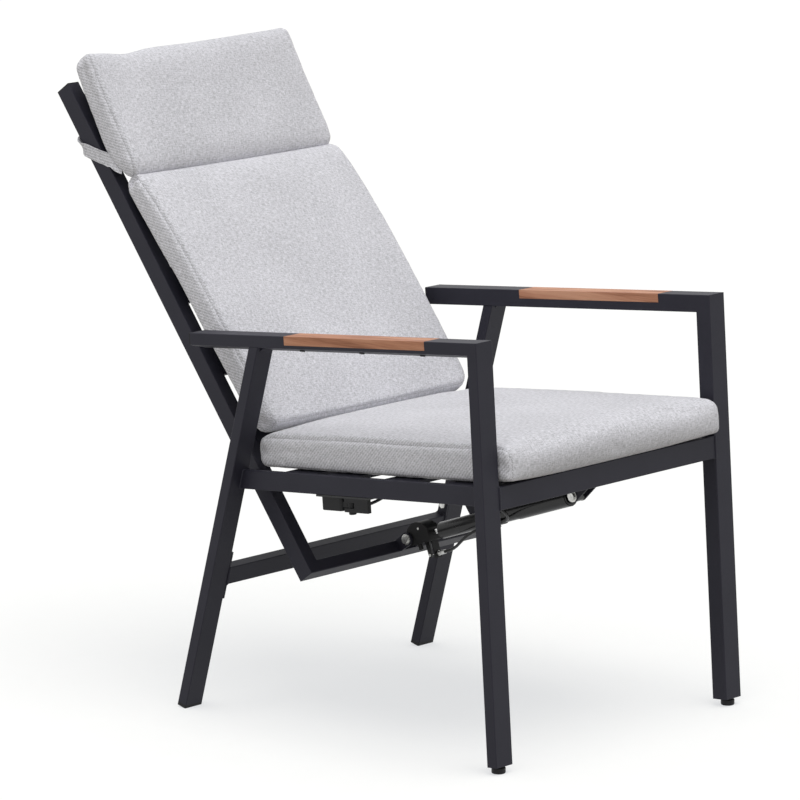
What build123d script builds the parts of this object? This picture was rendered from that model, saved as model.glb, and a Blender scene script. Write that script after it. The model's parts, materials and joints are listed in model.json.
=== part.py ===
from build123d import *
import os
from math import atan2, cos, pi, radians, sin, tan

# Reclining garden armchair: an aluminium frame with wooden arm inserts, a back that turns on two pivots
# and is held by a lockable gas spring, and loose seat, back and head cushions. X runs across the chair,
# the sitter faces -Y and Z is up. The origin is on the floor under the middle of the reclined chair.

# Overall width and the arm and leg tube, a trapezoid that is deeper on its inner face
chair_width = 600
tube_width = 38
tube_wall = 1.6
tube_outer_depth = 19
tube_inner_depth = 28.5
rear_leg_depth = 18.5
edge_round = 1.5
overrun = 60

# Side view: distances run back from the front edge of the front legs, heights from the floor
front_leg_height = 12.4
arm_front_height = 664
arm_front_setback = 39
arm_length = 601
arm_slope = 4.93
rear_leg_setback = 657
rear_leg_lean = 15.5
seat_height = 440
seat_slope = 4.4
pivot_setback = 563
pivot_height = 381
back_lean = 35.6

# Seat frame
rail_width = 14
rail_depth = 30
rail_wall = 1.5
front_rail_depth = 36
front_rail_thickness = 25
slat_thickness = 6
slat_width = 66
slat_gap = 57
rear_slat_gap = 21
first_slat_setback = 43.5
stretcher_height = 212
stretcher_depth = 30
stretcher_plate_thickness = 3
stretcher_plate_length = 81
stretcher_plate_drop = 24
stretcher_bolt_inset = 11
stretcher_bolt_radius = 4
stretcher_bolt_head = 6
stretcher_bolt_head_height = 4

# Arms
insert_start = 104.4
insert_length = 292
insert_depth = 14
insert_gap = 0.3
insert_screw_inset = 21
screw_radius = 2
screw_head_radius = 4.5
screw_head_height = 2.4
screw_bite = 9
end_cap_thickness = 2
end_cap_plug = 12
gusset_leg = 7
gusset_width = 22

# Feet
foot_setback = 12.5
foot_radius = 11
foot_pad_height = 9.5
foot_round = 2.5
foot_stud_radius = 4
foot_stud_length = 34
foot_plug_length = 22
glide_height = 5
glide_dip = 0.6
glide_plug = 14

# Back frame, measured along the stile from the pivot
back_side_gap = 32
stile_width = 25
stile_depth = 30
stile_wall = 1.6
stile_above = 719.4
stile_below = 183.6
bottom_bar_height = 20
top_rail_height = 20
top_rail_drop = 24
stile_plug_thickness = 2
stile_plug_length = 14
back_slat_count = 5
first_back_slat = 41
back_slat_pitch = 132.8

# Pivot of the back
pivot_bolt_radius = 5
pivot_bush_radius = 7
pivot_flange_radius = 9
pivot_flange_thickness = 1.5
pivot_boss_radius = 9
pivot_head_radius = 8
pivot_head_height = 5
pivot_thread = 24
washer_thickness = 1.5

# Gas spring: eyes are placed from the bottom bar of the back and from the front rail
rear_eye_drop = 173.2
rear_eye_reach = 35.8
front_eye_height = 368.9
front_eye_reach = 69.1
eye_pin_radius = 4
linkage_play = 3.2
rod_radius = 5
cylinder_radius = 13.5
cylinder_wall = 1.5
cylinder_start = 66
cylinder_front_gap = 16
cylinder_plug = 14
gland_length = 16
sleeve_start = 236
sleeve_wall = 0.95
piston_place = 298
piston_length = 12
front_eye_radius = 10
front_eye_width = 16
eye_collar = 3

# Release head, lever arm and valve pin, measured from the rear eye along the spring
head_width = 28
head_length = 46
head_drop = 12
head_shoulder = 9
head_rise = 23
head_eye_radius = 12
head_stub_radius = 4
head_stub_place = 11
head_stub_drop = 22
socket_depth = 10
slot_width = 4
slot_start = 20
arm_plate_thickness = 3
arm_pivot_place = 27
arm_pivot_rise = 12
arm_pin_radius = 2
arm_eye_radius = 5
arm_edge_place = 32
arm_blade = 8
arm_drop = 38
valve_pin_radius = 2
valve_pin_length = 44
tab_place = 41
tab_thickness = 3
tab_width = 14
ferrule_radius = 3.5
ferrule_drop = 34
ferrule_start = 37.5
ferrule_length = 22.5
nipple_radius = 2.4
wire_radius = 0.8
wire_reach = 2
ferrule_mouth = 2.8
ferrule_mouth_depth = 9
ferrule_nut = 2.5

# Brackets of the gas spring
ear_thickness = 3
ear_gap = 0.5
bracket_base = 3
bracket_height = 22
rear_ear_radius = 11
front_ear_radius = 10
pin_washer_radius = 9
pin_head_radius = 6.5
pin_head_height = 3.5

# Release lever under the right seat rail, measured back along the rail
lever_plate_start = 258
lever_plate_length = 110
lever_plate_thickness = 3
lever_plate_width = 20
housing_start = 260.5
housing_length = 49
housing_height = 21.5
housing_nose = 12
lever_slot_length = 21
lever_slot_height = 9
lever_pin_place = 301.5
lever_pin_radius = 3
lever_knob_radius = 6
lever_knob_height = 5
lever_hub_radius = 7.5
lever_neck = 11
paddle_start = 316
paddle_length = 44
paddle_width = 17
paddle_height = 21
paddle_round = 6
cable_port_place = 277
cable_port_depth = 6

# Release cable
cable_radius = 2.5
cable_port_run = 19
guide_run = 18
bend_share = 0.45
guide_start = 187
guide_length = 14
guide_wall = 1.6
guide_across = 14.5
guide_drop = 12

# Cushions
seat_pad_side_gap = 9
seat_pad_front = -18
seat_pad_rear = 509
seat_pad_front_thickness = 56
seat_pad_rear_thickness = 46
seat_pad_crown = 17
back_pad_side_gap = 27
back_pad_bottom = 42
back_pad_top = 519
back_pad_bottom_stand = 26
back_pad_top_stand = 10
back_pad_bottom_thickness = 42
back_pad_top_thickness = 38
back_pad_crown = 20
head_pad_inset = 2
head_pad_length = 223
head_pad_bottom_stand = 2
head_pad_top_stand = 26
head_pad_bottom_thickness = 44
head_pad_top_thickness = 41
head_pad_crown = 14
pad_bulge = 5
strap_width = 25
strap_thickness = 1.6
strap_front = 574
strap_front_span = 32
strap_rear = 614
strap_rear_span = 40
strap_tab_reach = 5
strap_seam_gap = 0.8

# Fits
running_gap = 0.05
fit_gap = 0.1
clear_gap = 0.3

# Places worked out from the sizes above
back_angle = radians(back_lean)
chair_depth = pivot_setback + stile_above * sin(back_angle) + stile_depth * cos(back_angle) / 2
front_y = -chair_depth / 2
half_width = chair_width / 2
inner_x = half_width - tube_width
middle_x = half_width - tube_width / 2
stile_outer_x = inner_x - back_side_gap
stile_inner_x = stile_outer_x - stile_width
seat_pad_half = inner_x - seat_pad_side_gap
back_pad_half = inner_x - back_pad_side_gap
head_pad_half = stile_outer_x - head_pad_inset
across_x = Vector(1, 0, 0)


def leaning(place, forward, upward):
    """Plane on a member's front face: x across the chair, y up the member, z out of the face."""
    return Plane(origin=(0, *place), x_dir=(1, 0, 0), z_dir=(0, -forward, upward))


def side_view(plane):
    """Plane in the middle of the chair: x up or along the member, y out of its face."""
    return Plane(origin=plane.origin, x_dir=plane.y_dir, z_dir=(1, 0, 0))


def cross_section(plane, place):
    """Plane square to the member, at a place along it: x across the chair, y in from its face."""
    return Plane(origin=plane.origin + plane.y_dir * place, x_dir=(1, 0, 0), z_dir=plane.y_dir)


def parallel(plane, point, normal):
    """Plane through a point given in another plane's own sizes."""
    return Plane(origin=plane.from_local_coords(Vector(*point)), z_dir=normal)


front_leg_lean = atan2(arm_front_setback, arm_front_height - front_leg_height)
leg_plane = leaning((front_y, front_leg_height), cos(front_leg_lean), sin(front_leg_lean))
arm_angle = radians(arm_slope)
arm_plane = leaning((front_y + arm_front_setback, arm_front_height), -sin(arm_angle), cos(arm_angle))
seat_angle = radians(seat_slope)
seat_front = front_y + (seat_height - front_leg_height) * tan(front_leg_lean)
seat_plane = leaning((seat_front, seat_height), -sin(seat_angle), cos(seat_angle))
rear_angle = radians(rear_leg_lean)
rear_plane = leaning((front_y + rear_leg_setback, 0), cos(rear_angle), -sin(rear_angle))
back_plane = leaning((front_y + pivot_setback, pivot_height), cos(back_angle), sin(back_angle))

rear_eye = back_plane.from_local_coords(Vector(0, -rear_eye_drop, rear_eye_reach))
front_eye = leg_plane.from_local_coords(Vector(0, front_eye_height, -front_eye_reach))
spring_run = front_eye - rear_eye
spring_length = spring_run.length
spring_plane = Plane(origin=rear_eye, x_dir=(1, 0, 0), z_dir=spring_run.normalized())
spring_side = Plane(origin=rear_eye, x_dir=spring_plane.z_dir, z_dir=(-1, 0, 0))

tube_slope = tube_inner_depth - tube_outer_depth
tube_middle_depth = (tube_inner_depth + tube_outer_depth) / 2
under_arm = Plane(
    origin=arm_plane.from_local_coords(Vector(middle_x, 0, -tube_middle_depth)),
    x_dir=arm_plane.y_dir,
    z_dir=across_x * tube_slope - arm_plane.z_dir * tube_width,
)
behind_leg = Plane(
    origin=leg_plane.from_local_coords(Vector(middle_x, 0, -tube_middle_depth)),
    x_dir=leg_plane.y_dir,
    z_dir=across_x * tube_slope - leg_plane.z_dir * tube_width,
)
mitre = Plane(origin=arm_plane.origin, z_dir=arm_plane.y_dir + leg_plane.y_dir)

tube_outline = (
    (inner_x, 0),
    (half_width, 0),
    (half_width, tube_outer_depth),
    (inner_x, tube_inner_depth),
)


def box_outline(left, right, near, far):
    """Corners of a rectangle between two sides and two depths."""
    return (left, near), (right, near), (right, far), (left, far)


rear_leg_outline = box_outline(inner_x, half_width, 0, rear_leg_depth)
stile_outline = box_outline(stile_inner_x, stile_outer_x, -stile_depth / 2, stile_depth / 2)


def hollow(plane, outline, wall):
    """Tube section with rounded outer edges."""
    with BuildSketch(plane) as section:
        with BuildLine():
            Polyline(*outline, close=True)
        make_face()
        offset(amount=-wall, kind=Kind.INTERSECTION, mode=Mode.SUBTRACT)
        fillet(section.faces()[0].outer_wire().vertices(), radius=edge_round)
    return section.sketch


def solid_section(plane, outline, inset=0):
    """Filled section, drawn in all round by an inset."""
    with BuildSketch(plane) as section:
        with BuildLine():
            Polyline(*outline, close=True)
        make_face()
        if inset:
            offset(amount=-inset, kind=Kind.INTERSECTION, mode=Mode.REPLACE)
        else:
            fillet(section.vertices(), radius=edge_round)
    return section.sketch


def write(piece, name):
    """Name a finished piece and write it."""
    piece.part.label = name
    export_step(piece.part, f"parts/{name}.step")


def write_pair(piece, name):
    """Write a left piece and its mirror image on the right of the chair."""
    with BuildPart() as other:
        mirror(piece.part, about=Plane.YZ)
    write(piece, f"{name}_left")
    write(other, f"{name}_right")


os.makedirs("parts", exist_ok=True)

# Front levelling feet: a pad on a stud that screws up into the plug in the leg
foot_y = front_y + foot_setback
with BuildPart() as front_foot:
    with BuildSketch(Plane.XY):
        with Locations((middle_x, foot_y)):
            Circle(foot_radius)
    extrude(amount=foot_pad_height)
    fillet(front_foot.edges().group_by(Axis.Z)[0], radius=foot_round)
    fillet(front_foot.edges().group_by(Axis.Z)[-1], radius=foot_round / 2)
    with BuildSketch(Plane.XY.offset(foot_pad_height / 2)):
        with Locations((middle_x, foot_y)):
            Circle(foot_stud_radius)
    extrude(amount=foot_stud_length)
write_pair(front_foot, "front_foot")

with BuildPart() as leg_plugs:
    leg_end = cross_section(leg_plane, 0)
    extrude(solid_section(leg_end, tube_outline, tube_wall + fit_gap), amount=foot_plug_length)
    with BuildSketch(Plane.XY):
        with Locations((middle_x, foot_y)):
            Circle(foot_stud_radius + running_gap)
    extrude(amount=overrun, mode=Mode.SUBTRACT)
    mirror(about=Plane.YZ)
write(leg_plugs, "leg_plugs")

# Front legs and arms, mitred together at the top corner
with BuildPart() as front_leg:
    extrude(hollow(leg_end, tube_outline, tube_wall), amount=arm_front_height + overrun)
    split(bisect_by=mitre, keep=Keep.BOTTOM)
write_pair(front_leg, "front_leg")

insert_middle = insert_start + insert_length / 2
screw_reach = insert_length / 2 - insert_screw_inset
screw_places = [(insert_middle + side * screw_reach, 0) for side in (-1, 0, 1)]
screw_length = (tube_middle_depth - insert_depth) + screw_bite
with BuildPart() as arm:
    extrude(
        hollow(cross_section(arm_plane, -overrun), tube_outline, tube_wall),
        amount=overrun + arm_length - end_cap_thickness,
    )
    split(bisect_by=mitre, keep=Keep.TOP)
    with BuildSketch(arm_plane):
        with Locations((middle_x, insert_middle)):
            Rectangle(tube_width + overrun, insert_length)
    extrude(amount=-insert_depth, mode=Mode.SUBTRACT)
    with BuildSketch(under_arm):
        with Locations(*screw_places):
            Circle(screw_radius + fit_gap)
    extrude(amount=-tube_wall - clear_gap, mode=Mode.SUBTRACT)
write_pair(arm, "arm")

with BuildPart() as arm_insert:
    with BuildSketch(arm_plane):
        with Locations((middle_x, insert_middle)):
            Rectangle(tube_width, insert_length - insert_gap - insert_gap)
    extrude(amount=-insert_depth)
    with BuildSketch(under_arm):
        with Locations(*screw_places):
            Circle(screw_radius + running_gap)
    extrude(amount=-screw_length - clear_gap, mode=Mode.SUBTRACT)
write_pair(arm_insert, "arm_insert")

with BuildPart() as insert_screws:
    with BuildSketch(under_arm):
        with Locations(*screw_places):
            Circle(screw_head_radius)
    extrude(amount=screw_head_height)
    head_tops = insert_screws.faces().group_by(Axis(under_arm.origin, under_arm.z_dir))[-1]
    chamfer(head_tops.edges(), length=screw_head_height / 3)
    with BuildSketch(under_arm):
        with Locations(*screw_places):
            Circle(screw_radius)
    extrude(amount=-screw_length)
    mirror(about=Plane.YZ)
write(insert_screws, "insert_screws")

with BuildPart() as arm_end_caps:
    cap_plane = cross_section(arm_plane, arm_length - end_cap_thickness)
    extrude(solid_section(cap_plane, tube_outline), amount=end_cap_thickness)
    extrude(solid_section(cap_plane, tube_outline, tube_wall + fit_gap), amount=-end_cap_plug)
    mirror(about=Plane.YZ)
write(arm_end_caps, "arm_end_caps")

# Rear legs, cut to the sloped underside of the arm, on glides cut flat where they stand
with BuildPart() as rear_leg:
    extrude(
        hollow(cross_section(rear_plane, glide_height), rear_leg_outline, tube_wall),
        amount=arm_front_height + overrun,
    )
    split(bisect_by=under_arm, keep=Keep.TOP)
write_pair(rear_leg, "rear_leg")

with BuildPart() as rear_leg_glides:
    glide_end = cross_section(rear_plane, -glide_dip)
    extrude(solid_section(glide_end, rear_leg_outline), amount=glide_height + glide_dip)
    extrude(
        solid_section(cross_section(rear_plane, glide_height), rear_leg_outline, tube_wall + fit_gap),
        amount=glide_plug,
    )
    split(bisect_by=Plane.XY, keep=Keep.TOP)
    mirror(about=Plane.YZ)
write(rear_leg_glides, "rear_leg_glides")


def gusset(first, second, reach):
    """Small wedge in the corner of two faces whose normals point into the open corner."""
    bisector = (first.z_dir + second.z_dir).normalized()
    run = first.z_dir.cross(second.z_dir).normalized()
    into = second.z_dir.cross(run)
    gap = (first.origin - second.origin).dot(first.z_dir) / into.dot(first.z_dir)
    meeting = second.origin + into * gap
    meeting = meeting + run * ((middle_x - meeting.X) / run.X)
    corner = Plane(origin=meeting, x_dir=run, z_dir=bisector)
    with BuildPart() as wedge:
        with BuildSketch(corner):
            Rectangle(gusset_width, overrun)
        extrude(amount=overrun, both=True)
        split(bisect_by=first, keep=Keep.TOP)
        split(bisect_by=second, keep=Keep.TOP)
        split(bisect_by=corner.offset(reach), keep=Keep.BOTTOM)
    return wedge.part


rear_leg_back = Plane(
    origin=rear_plane.from_local_coords(Vector(middle_x, 0, -rear_leg_depth)), z_dir=-rear_plane.z_dir
)
rear_leg_front = Plane(origin=rear_plane.from_local_coords(Vector(middle_x, 0, 0)), z_dir=rear_plane.z_dir)
gusset_reach = gusset_leg / 2
with BuildPart() as corner_gussets:
    add(gusset(under_arm, behind_leg, gusset_reach))
    add(gusset(under_arm, rear_leg_front, gusset_reach))
    add(gusset(under_arm, rear_leg_back, gusset_reach))
    mirror(about=Plane.YZ)
write(corner_gussets, "corner_gussets")

# Seat rails from the sloped back of the front leg to the front of the rear leg
rail_outline = box_outline(inner_x, inner_x + rail_width, 0, rail_depth)
with BuildPart() as seat_rail:
    extrude(hollow(cross_section(seat_plane, 0), rail_outline, rail_wall), amount=rear_leg_setback)
    split(bisect_by=behind_leg, keep=Keep.TOP)
    split(bisect_by=rear_plane, keep=Keep.TOP)
write_pair(seat_rail, "seat_rail")

rail_level = front_rail_thickness * tan(seat_angle - front_leg_lean)
front_rail_top = (seat_height - front_leg_height) / cos(front_leg_lean) - rail_level
front_rail_outline = box_outline(front_rail_top - front_rail_depth, front_rail_top, -front_rail_thickness, 0)
with BuildPart() as front_rail:
    extrude(hollow(side_view(leg_plane), front_rail_outline, rail_wall), amount=inner_x, both=True)
write(front_rail, "front_rail")

slat_pitch = slat_width + slat_gap
last_slat = first_slat_setback + slat_pitch + slat_pitch + slat_width + rear_slat_gap
slat_starts = [first_slat_setback + slat_pitch * number for number in range(3)] + [last_slat]
with BuildPart() as seat_slats:
    with BuildSketch(side_view(seat_plane)):
        with Locations(*[(start + slat_width / 2, -slat_thickness / 2) for start in slat_starts]):
            Rectangle(slat_width, slat_thickness)
    extrude(amount=inner_x, both=True)
write(seat_slats, "seat_slats")

# Stretcher between the rear legs, bolted on through a plate on each leg
plate_inner_x = inner_x - stretcher_plate_thickness
stretcher_outline = box_outline(stretcher_height, stretcher_height + stretcher_depth, -rear_leg_depth, 0)
plate_bottom = stretcher_height - stretcher_plate_drop
plate_middle = plate_bottom + stretcher_plate_length / 2
bolt_reach = stretcher_plate_length / 2 - stretcher_bolt_inset
bolt_places = [(plate_middle + side * bolt_reach, -rear_leg_depth / 2) for side in (-1, 1)]
with BuildPart() as rear_stretcher:
    extrude(hollow(side_view(rear_plane), stretcher_outline, rail_wall), amount=plate_inner_x, both=True)
write(rear_stretcher, "rear_stretcher")

with BuildPart() as stretcher_plates:
    with BuildSketch(side_view(rear_plane).offset(plate_inner_x)):
        with Locations((plate_middle, -rear_leg_depth / 2)):
            Rectangle(stretcher_plate_length, rear_leg_depth)
        with Locations(*bolt_places):
            Circle(stretcher_bolt_radius + fit_gap, mode=Mode.SUBTRACT)
    extrude(amount=stretcher_plate_thickness)
    mirror(about=Plane.YZ)
write(stretcher_plates, "stretcher_plates")

with BuildPart() as stretcher_bolts:
    with BuildSketch(side_view(rear_plane).offset(plate_inner_x)):
        with Locations(*bolt_places):
            RegularPolygon(stretcher_bolt_head, side_count=6)
    extrude(amount=-stretcher_bolt_head_height)
    with BuildSketch(side_view(rear_plane).offset(plate_inner_x)):
        with Locations(*bolt_places):
            Circle(stretcher_bolt_radius)
    extrude(amount=stretcher_plate_thickness)
    mirror(about=Plane.YZ)
write(stretcher_bolts, "stretcher_bolts")


def pivot_disc(outer, start, end, bore=0):
    """Turned piece on the back's pivot axis between two distances from the chair's middle."""
    with BuildPart() as disc:
        with BuildSketch(pivot_view.offset(start)):
            Circle(outer)
            if bore:
                Circle(bore, mode=Mode.SUBTRACT)
        extrude(amount=end - start)
    return disc.part


# Pivots of the back: a boss on each rear leg, a shoulder bolt, a flanged bush in the stile and washers
pivot_view = Plane(origin=back_plane.origin, x_dir=back_plane.y_dir, z_dir=(1, 0, 0))
flange_x = stile_outer_x + pivot_flange_thickness
boss_x = flange_x + clear_gap + washer_thickness
inner_washer_x = stile_inner_x - clear_gap
bolt_bore = pivot_bolt_radius + running_gap
with BuildPart() as pivot_bosses:
    add(pivot_disc(pivot_boss_radius, boss_x, inner_x, bolt_bore))
    mirror(about=Plane.YZ)
write(pivot_bosses, "pivot_bosses")

with BuildPart() as pivot_washers:
    add(pivot_disc(pivot_flange_radius, boss_x - washer_thickness, boss_x, bolt_bore))
    add(pivot_disc(pivot_flange_radius, inner_washer_x - washer_thickness, inner_washer_x, bolt_bore))
    mirror(about=Plane.YZ)
write(pivot_washers, "pivot_washers")

with BuildPart() as pivot_bolts:
    head_x = inner_washer_x - washer_thickness
    add(pivot_disc(pivot_bolt_radius, head_x - pivot_head_height, boss_x + pivot_thread))
    add(pivot_disc(pivot_head_radius, head_x - pivot_head_height, head_x))
    chamfer(pivot_bolts.edges().group_by(Axis.X)[0], length=pivot_head_height / 5)
    mirror(about=Plane.YZ)
write(pivot_bolts, "pivot_bolts")

with BuildPart() as pivot_bushes:
    add(pivot_disc(pivot_bush_radius, stile_inner_x, flange_x, bolt_bore))
    add(pivot_disc(pivot_flange_radius, stile_outer_x, flange_x, bolt_bore))
    mirror(about=Plane.YZ)
write(pivot_bushes, "pivot_bushes")

# Back frame: two stiles mitred to a bottom bar, a top rail and slats level with their front faces
stile_mitre = parallel(
    back_plane,
    (stile_outer_x, -stile_below, 0),
    across_x * bottom_bar_height + back_plane.y_dir * stile_width,
)
with BuildPart() as stile:
    extrude(
        hollow(cross_section(back_plane, -stile_below - overrun), stile_outline, stile_wall),
        amount=overrun + stile_below + stile_above - stile_plug_thickness,
    )
    split(bisect_by=stile_mitre, keep=Keep.TOP)
    add(pivot_disc(pivot_bush_radius + running_gap, stile_inner_x, stile_outer_x), mode=Mode.SUBTRACT)
write_pair(stile, "stile")

with BuildPart() as stile_plugs:
    plug_plane = cross_section(back_plane, stile_above - stile_plug_thickness)
    extrude(solid_section(plug_plane, stile_outline), amount=stile_plug_thickness)
    extrude(solid_section(plug_plane, stile_outline, stile_wall + fit_gap), amount=-stile_plug_length)
    mirror(about=Plane.YZ)
write(stile_plugs, "stile_plugs")

half_depth = stile_depth / 2
bar_outline = box_outline(-stile_below, bottom_bar_height - stile_below, -half_depth, half_depth)
with BuildPart() as bottom_bar:
    extrude(hollow(side_view(back_plane), bar_outline, stile_wall), amount=stile_outer_x)
    split(bisect_by=stile_mitre, keep=Keep.BOTTOM)
    mirror(about=Plane.YZ)
write(bottom_bar, "bottom_bar")

rail_top = stile_above - top_rail_drop
top_outline = box_outline(rail_top - top_rail_height, rail_top, -half_depth, half_depth)
with BuildPart() as top_rail:
    extrude(hollow(side_view(back_plane), top_outline, stile_wall), amount=stile_inner_x, both=True)
write(top_rail, "top_rail")

with BuildPart() as back_slats:
    slat_middle = first_back_slat + slat_width / 2
    with BuildSketch(side_view(back_plane)):
        with Locations(
            *[
                (slat_middle + back_slat_pitch * number, half_depth - slat_thickness / 2)
                for number in range(back_slat_count)
            ]
        ):
            Rectangle(slat_width, slat_thickness)
    extrude(amount=stile_inner_x, both=True)
write(back_slats, "back_slats")


def round_bar(plane, radius, start, end, bore=0, place=(0, 0)):
    """Round bar or tube square to a plane, from one distance to another."""
    with BuildPart() as bar:
        with BuildSketch(plane.offset(start)):
            with Locations(place):
                Circle(radius)
                if bore:
                    Circle(bore, mode=Mode.SUBTRACT)
        extrude(amount=end - start)
    return bar.part


def eye_pin(plane, reach, name):
    """Bolt, washers and nut through a pair of bracket ears."""
    with BuildPart() as pin:
        head = reach + washer_thickness + pin_head_height
        add(round_bar(plane, eye_pin_radius, -head, head))
        for side in (-1, 1):
            with BuildSketch(plane.offset(side * reach)):
                Circle(pin_washer_radius)
            extrude(amount=side * washer_thickness)
            with BuildSketch(plane.offset(side * (reach + washer_thickness))):
                RegularPolygon(pin_head_radius, side_count=6)
            extrude(amount=side * pin_head_height)
    write(pin, name)


def ears(plane, eye, eye_radius, base, inner, pin_bore):
    """Pair of bracket ears, each the outline of an eye and a base drawn tight together."""
    low, high, near, far = base
    with BuildPart() as pair:
        with BuildSketch(plane.offset(inner)):
            with Locations(eye):
                Circle(eye_radius)
            with Locations(((low + high) / 2, (near + far) / 2)):
                Rectangle(high - low, far - near)
            make_hull()
            with Locations(eye):
                Circle(pin_bore, mode=Mode.SUBTRACT)
        extrude(amount=ear_thickness)
        mirror(about=Plane.YZ)
        with BuildSketch(plane):
            with Locations(((low + high) / 2, (near + far) / 2)):
                Rectangle(high - low, far - near)
        extrude(amount=inner + ear_thickness, both=True)
    return pair


# Brackets of the gas spring on the bottom bar of the back and behind the front rail
rear_ear_x = head_width / 2 + ear_gap
rear_base = (-stile_below, bottom_bar_height - stile_below, half_depth, half_depth + bracket_base)
rear_view = side_view(back_plane)
rear_eye_place = (-rear_eye_drop, rear_eye_reach)
pin_bore = eye_pin_radius + running_gap
spring_rear_bracket = ears(rear_view, rear_eye_place, rear_ear_radius, rear_base, rear_ear_x, pin_bore)
write(spring_rear_bracket, "spring_rear_bracket")
rear_pin_plane = Plane(origin=rear_eye, x_dir=(0, 1, 0), z_dir=(1, 0, 0))
eye_pin(rear_pin_plane, rear_ear_x + ear_thickness, "spring_rear_bolt")

front_ear_x = front_eye_width / 2 + ear_gap
rail_underside = front_rail_top - front_rail_depth
base_low = rail_underside + bracket_base
front_base = (base_low, base_low + bracket_height, -front_rail_thickness - bracket_base, -front_rail_thickness)
front_eye_place = (front_eye_height, -front_eye_reach)
front_view = side_view(leg_plane)
spring_front_bracket = ears(front_view, front_eye_place, front_ear_radius, front_base, front_ear_x, pin_bore)
write(spring_front_bracket, "spring_front_bracket")
front_pin_plane = Plane(origin=front_eye, x_dir=(0, 1, 0), z_dir=(1, 0, 0))
eye_pin(front_pin_plane, front_ear_x + ear_thickness, "spring_front_bolt")

# Gas spring: tube, front eye plug, gland, sleeve, rod and piston
cylinder_end = spring_length - cylinder_front_gap
bore_radius = cylinder_radius - cylinder_wall
fill_radius = bore_radius - running_gap
with BuildPart() as gas_cylinder:
    add(round_bar(spring_plane, cylinder_radius, cylinder_start, cylinder_end, bore_radius))
write(gas_cylinder, "gas_cylinder")

with BuildPart() as cylinder_gland:
    gland_end = cylinder_start + gland_length
    add(round_bar(spring_plane, fill_radius, cylinder_start, gland_end, rod_radius + running_gap))
write(cylinder_gland, "cylinder_gland")

with BuildPart() as cylinder_sleeve:
    sleeve_bore = cylinder_radius + running_gap
    add(round_bar(spring_plane, sleeve_bore + sleeve_wall, sleeve_start, cylinder_end, sleeve_bore))
write(cylinder_sleeve, "cylinder_sleeve")

with BuildPart() as cylinder_eye:
    add(round_bar(spring_plane, fill_radius, cylinder_end - cylinder_plug, cylinder_end + clear_gap))
    add(round_bar(spring_plane, cylinder_radius, cylinder_end, cylinder_end + eye_collar))
    with BuildSketch(spring_side):
        with Locations((spring_length, 0)):
            Circle(front_eye_radius - ear_gap)
        with Locations(((cylinder_end + spring_length) / 2, 0)):
            Rectangle(spring_length - cylinder_end, front_eye_radius + front_eye_radius / 2)
    extrude(amount=front_eye_width / 2, both=True)
    with BuildSketch(spring_side):
        with Locations((spring_length, 0)):
            Circle(pin_bore)
    extrude(amount=overrun, both=True, mode=Mode.SUBTRACT)
write(cylinder_eye, "cylinder_eye")

rod_start = head_length - socket_depth
with BuildPart() as piston_rod:
    add(round_bar(spring_plane, rod_radius, rod_start, piston_place + piston_length))
    valve_bore = valve_pin_radius + running_gap
    add(
        round_bar(spring_plane, valve_bore, rod_start, rod_start + valve_pin_length + socket_depth),
        mode=Mode.SUBTRACT,
    )
write(piston_rod, "piston_rod")

with BuildPart() as piston:
    piston_end = piston_place + piston_length
    add(round_bar(spring_plane, fill_radius, piston_place, piston_end, rod_radius + running_gap))
write(piston, "piston")

with BuildPart() as valve_pin:
    valve_start = arm_edge_place + clear_gap
    add(round_bar(spring_plane, valve_pin_radius, valve_start, valve_start + valve_pin_length))
write(valve_pin, "valve_pin")

# Release head on the rod: a domed block with the spring's rear eye, a slot for the lever arm and a cable tab
slot_top = arm_pivot_rise + arm_eye_radius + clear_gap
tab_bottom = -ferrule_drop - ferrule_radius - tab_thickness
with BuildPart() as release_head:
    with BuildSketch(spring_side):
        with BuildLine():
            Polyline(
                (0, head_shoulder),
                (0, -head_drop),
                (head_length, -head_drop),
                (head_length, head_shoulder),
            )
            ThreePointArc((head_length, head_shoulder), (head_length / 2, head_rise), (0, head_shoulder))
        make_face()
        Circle(head_eye_radius)
    extrude(amount=head_width / 2, both=True)
    fillet(release_head.edges().filter_by(Axis.X).group_by(Axis.Y)[0], radius=edge_round)
    with BuildSketch(spring_side):
        Circle(eye_pin_radius + linkage_play)
        with Locations((arm_pivot_place, arm_pivot_rise)):
            Circle(arm_pin_radius + running_gap)
    extrude(amount=head_width, both=True, mode=Mode.SUBTRACT)
    with BuildSketch(spring_side):
        with Locations(((slot_start + rod_start) / 2, (slot_top - head_drop - overrun) / 2)):
            Rectangle(rod_start - slot_start, slot_top + head_drop + overrun)
    extrude(amount=slot_width / 2, both=True, mode=Mode.SUBTRACT)
    add(
        round_bar(spring_plane, rod_radius + running_gap, rod_start, head_length + running_gap),
        mode=Mode.SUBTRACT,
    )
    with BuildSketch(spring_plane.offset(tab_place)):
        with Locations((0, (tab_bottom - head_drop) / 2)):
            Rectangle(tab_width, -head_drop - tab_bottom)
    extrude(amount=tab_thickness)
    add(
        round_bar(spring_plane, ferrule_radius + running_gap, tab_place - overrun, tab_place + overrun,
                  place=(0, -ferrule_drop)),
        mode=Mode.SUBTRACT,
    )
    with BuildSketch(Plane(origin=spring_side.from_local_coords(Vector(head_stub_place, 0, 0)),
                           x_dir=(1, 0, 0), z_dir=-spring_plane.y_dir).offset(head_drop)):
        Circle(head_stub_radius)
    extrude(amount=head_stub_drop - head_drop)
write(release_head, "release_head")

with BuildPart() as release_arm_pin:
    with BuildSketch(spring_side):
        with Locations((arm_pivot_place, arm_pivot_rise)):
            Circle(arm_pin_radius)
    extrude(amount=head_width / 2, both=True)
write(release_arm_pin, "release_arm_pin")

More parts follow.
